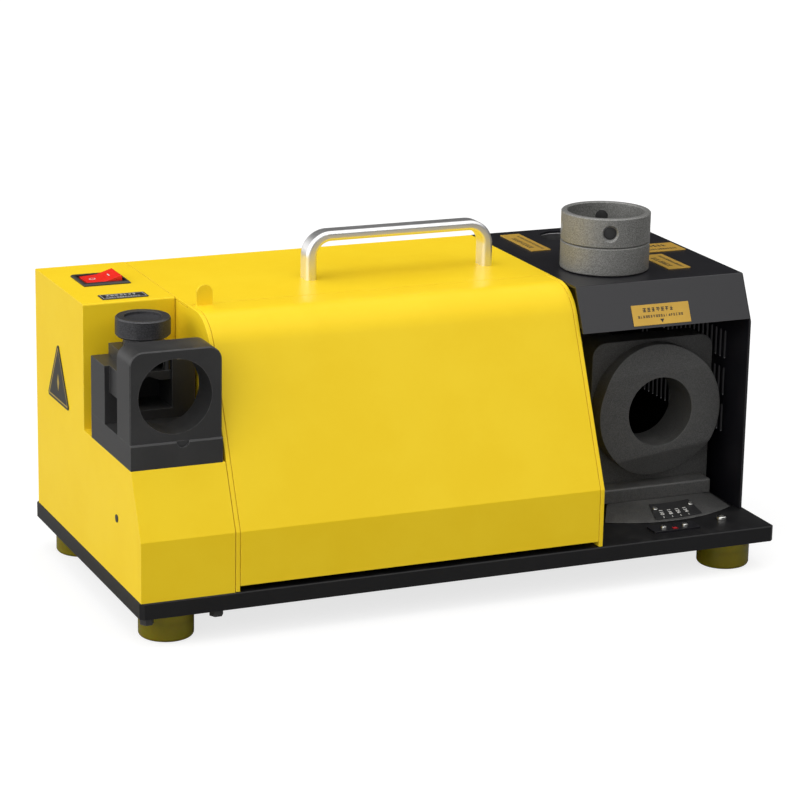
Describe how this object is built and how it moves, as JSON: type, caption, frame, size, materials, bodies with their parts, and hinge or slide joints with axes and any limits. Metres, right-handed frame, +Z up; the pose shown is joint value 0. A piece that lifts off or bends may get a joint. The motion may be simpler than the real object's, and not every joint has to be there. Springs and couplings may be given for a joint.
{
  "type": "drill bit sharpener",
  "caption": "Bench drill bit sharpener: yellow sheet casing on a black base plate, carrying handle, web-thinning and point-angle stations, collet chuck standing in its setting port.",
  "frame": {"origin": "middle of the base plate's outline, on the surface the feet stand on", "axes": "+Z up, +X along the length towards the vented cover, front of the machine towards -Y"},
  "size_m": [0.45, 0.2246, 0.234],
  "materials": {
    "yellow_paint": "gloss",
    "black_paint": "satin",
    "black_oxide": "satin",
    "knob_black": "satin",
    "polyurethane": "gloss",
    "red_plastic": "gloss",
    "black_plastic": "matte",
    "aluminium": "satin",
    "chuck_steel": "satin",
    "gold_plate": "satin",
    "side_plate": "satin",
    "scale_plate": "satin",
    "red_mark": "satin",
    "zinc_steel": "satin",
    "ground_steel": "satin",
    "motor_iron": "matte",
    "abrasive": "matte"
  },
  "bodies": {
    "machine": {"base_plate": "black_paint", "base_screw": "zinc_steel", "bearing_outer_rings": "ground_steel", "capacitor": "black_plastic", "chuck_port_sleeve": "ground_steel", "cradle_bolts": "zinc_steel", "end_bells": "aluminium", "feet": "polyurethane", "handle": "aluminium", "handle_screws": "zinc_steel", "index_mark": "red_mark", "index_plate": "black_paint", "index_screws": "zinc_steel", "label_plates": "gold_plate", "ledge_bracket": "motor_iron", "left_casing": "yellow_paint", "left_end_panel": "yellow_paint", "left_side_panel": "yellow_paint", "locating_pin": "ground_steel", "main_casing": "yellow_paint", "motor_cradle": "motor_iron", "motor_housing": "motor_iron", "panel_screw": "black_oxide", "pivot_bolt": "zinc_steel", "power_inlet": "black_plastic", "right_back_panel": "black_paint", "right_cover": "black_paint", "right_end_panel": "black_paint", "right_side_panel": "yellow_paint", "right_slope": "black_paint", "side_plate": "side_plate", "small_port_sleeve": "ground_steel", "station_bolts": "zinc_steel", "stator_core": "motor_iron", "switch_bezel": "black_plastic", "switch_plate": "black_plastic", "thinning_rear_wall": "black_oxide", "thinning_ring_plate": "black_oxide", "thinning_slab": "black_oxide", "underside_screws": "black_oxide"},
    "rocker": {"switch_rocker": "red_plastic"},
    "cover": {"front_cover": "yellow_paint"},
    "steady": {"steady_pad": "black_oxide"},
    "knob": {"steady_knob": "knob_black", "steady_screw": "knob_black"},
    "point_station": {"swivel_base": "black_oxide", "station_block": "black_oxide", "station_foot": "black_oxide", "cam_ring": "black_oxide", "angle_scale": "scale_plate", "scale_screws": "zinc_steel"},
    "spindle": {"spindle": "ground_steel", "rotor": "motor_iron", "bearing_inner_rings": "ground_steel", "thinning_wheel": "abrasive", "point_wheel": "abrasive", "wheel_nuts": "zinc_steel"},
    "chuck": {"chuck_body": "chuck_steel"},
    "chuck_ring": {"chuck_ring": "chuck_steel"},
    "collet": {"collet": "chuck_steel"}
  },
  "joints": [
    {"name": "rocker_tilt", "type": "hinge", "parent": "machine", "child": "rocker", "pos_m": [-0.1935, 0.06155, 0.1904], "axis": [0, 1, 0], "range_deg": [0, 15]},
    {"name": "cover_lift", "type": "slide", "parent": "machine", "child": "cover", "axis": [0, 0, 1], "range_m": [0, 0.06]},
    {"name": "pad_lift", "type": "slide", "parent": "machine", "child": "steady", "axis": [0, 0, 1], "range_m": [0, 0.009]},
    {"name": "knob_turn", "type": "hinge", "parent": "steady", "child": "knob", "pos_m": [-0.1945, -0.0283, 0.1806], "axis": [0, 0, 1], "range_deg": [0, 2160]},
    {"name": "station_swivel", "type": "hinge", "parent": "machine", "child": "point_station", "pos_m": [0.1665, 0.0146, 0.0346], "axis": [0, 0, 1], "range_deg": [-12, 0]},
    {"name": "spindle_spin", "type": "hinge", "parent": "machine", "child": "spindle", "pos_m": [-0.025, 0.0397, 0.1026], "axis": [1, 0, 0], "continuous": true},
    {"name": "chuck_lift", "type": "slide", "parent": "machine", "child": "chuck", "axis": [0, 0, 1], "range_m": [0, 0.06]},
    {"name": "ring_turn", "type": "hinge", "parent": "chuck", "child": "chuck_ring", "pos_m": [0.1395, -0.0133, 0.2206], "axis": [0, 0, 1], "range_deg": [0, 90]},
    {"name": "collet_release", "type": "slide", "parent": "chuck", "child": "collet", "axis": [0, 0, 1], "range_m": [0, 0.00038]}
  ],
  "couplings": [
    {"joint": "pad_lift", "follows": "knob_turn", "m_per_rad": 0.00023873},
    {"joint": "collet_release", "follows": "ring_turn", "m_per_rad": 0.00023873}
  ]
}
